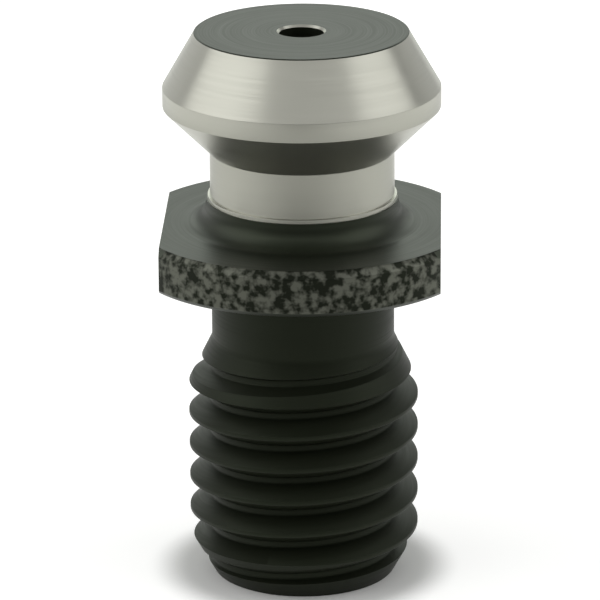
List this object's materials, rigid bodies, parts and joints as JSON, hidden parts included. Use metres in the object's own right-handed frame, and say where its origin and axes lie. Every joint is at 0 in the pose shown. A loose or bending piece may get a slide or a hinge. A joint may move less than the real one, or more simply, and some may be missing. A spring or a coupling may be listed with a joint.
{
  "type": "pull stud",
  "caption": "Steel pull stud: coned head on a ground neck, round flange with wrench flats, threaded shank with a relief, and a coolant hole along its axis.",
  "frame": {"origin": "centre of the flat end face of the thread, on which it stands", "axes": "+Z along the axis from the thread to the head; the wrench flats face -X and +X"},
  "size_m": [0.0186, 0.0234, 0.0381],
  "materials": {
    "steel": "black oxide, with the head and neck ground bright"
  },
  "bodies": {
    "root": {"pull_stud": "steel"}
  },
  "joints": []
}
